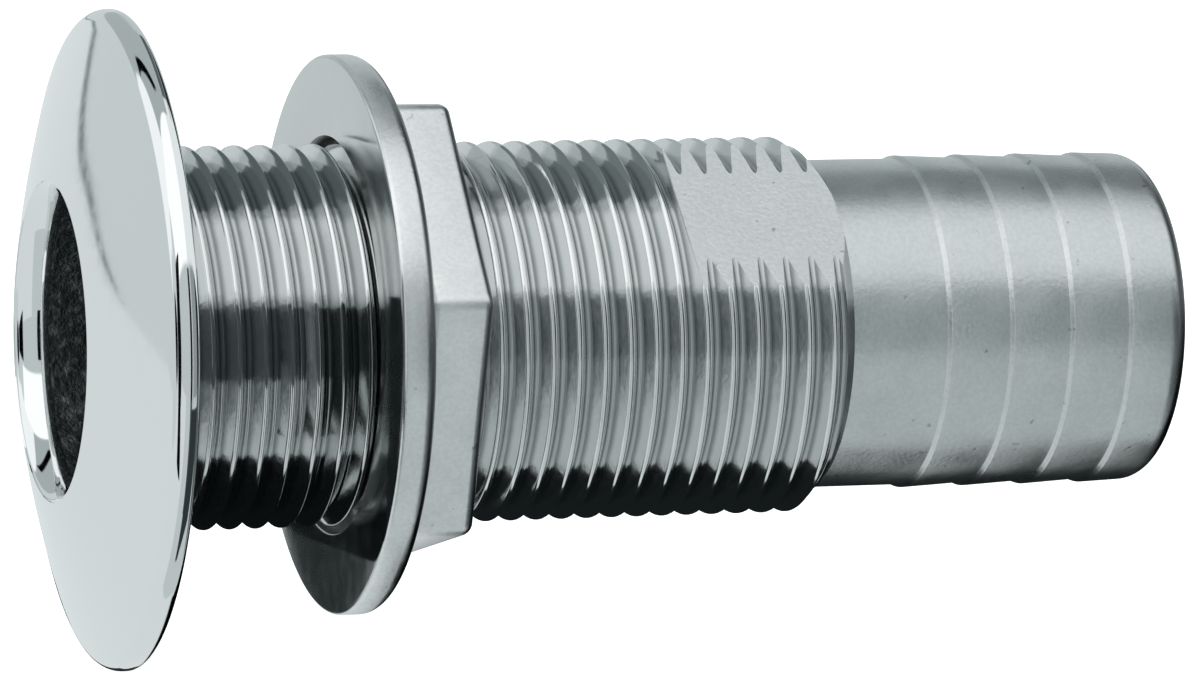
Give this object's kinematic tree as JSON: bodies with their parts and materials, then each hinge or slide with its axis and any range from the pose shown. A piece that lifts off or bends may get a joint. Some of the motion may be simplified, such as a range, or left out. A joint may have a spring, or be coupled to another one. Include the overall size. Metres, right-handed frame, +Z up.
{
  "type": "thru hull fitting",
  "caption": "Straight stainless through-hull hose fitting: domed flush head, parallel-threaded barrel with wrench flats, flanged hex nut and barbed hose tail.",
  "frame": {"origin": "centre of the head's back face, the ring that seats on the outside of the hull, on the fitting's axis", "axes": "+X along the fitting's axis from the head to the hose tail, +Z up, the upper wrench flat turned towards -Y and +Z"},
  "size_m": [0.0995, 0.057, 0.057],
  "materials": {
    "polished_stainless": "mirror-polished head and machined thread on one casting",
    "cast_stainless": "satin investment-cast skin with a machined front face on the nut"
  },
  "bodies": {
    "fitting_body": {"thru_hull_body": "polished_stainless"},
    "nut_carriage": {"nut_flange": "cast_stainless"},
    "nut": {"nut_hex": "cast_stainless"}
  },
  "joints": [
    {"name": "nut_travel", "type": "slide", "parent": "fitting_body", "child": "nut_carriage", "axis": [1, 0, 0], "range_m": [-0.0181, 0.03118]},
    {"name": "nut_turn", "type": "hinge", "parent": "nut_carriage", "child": "nut", "pos_m": [0.02475, 0, 0], "axis": [1, 0, 0], "range_deg": [-2820, 4860]}
  ],
  "couplings": [
    {"joint": "nut_travel", "follows": "nut_turn", "m_per_rad": 0.0003675}
  ]
}
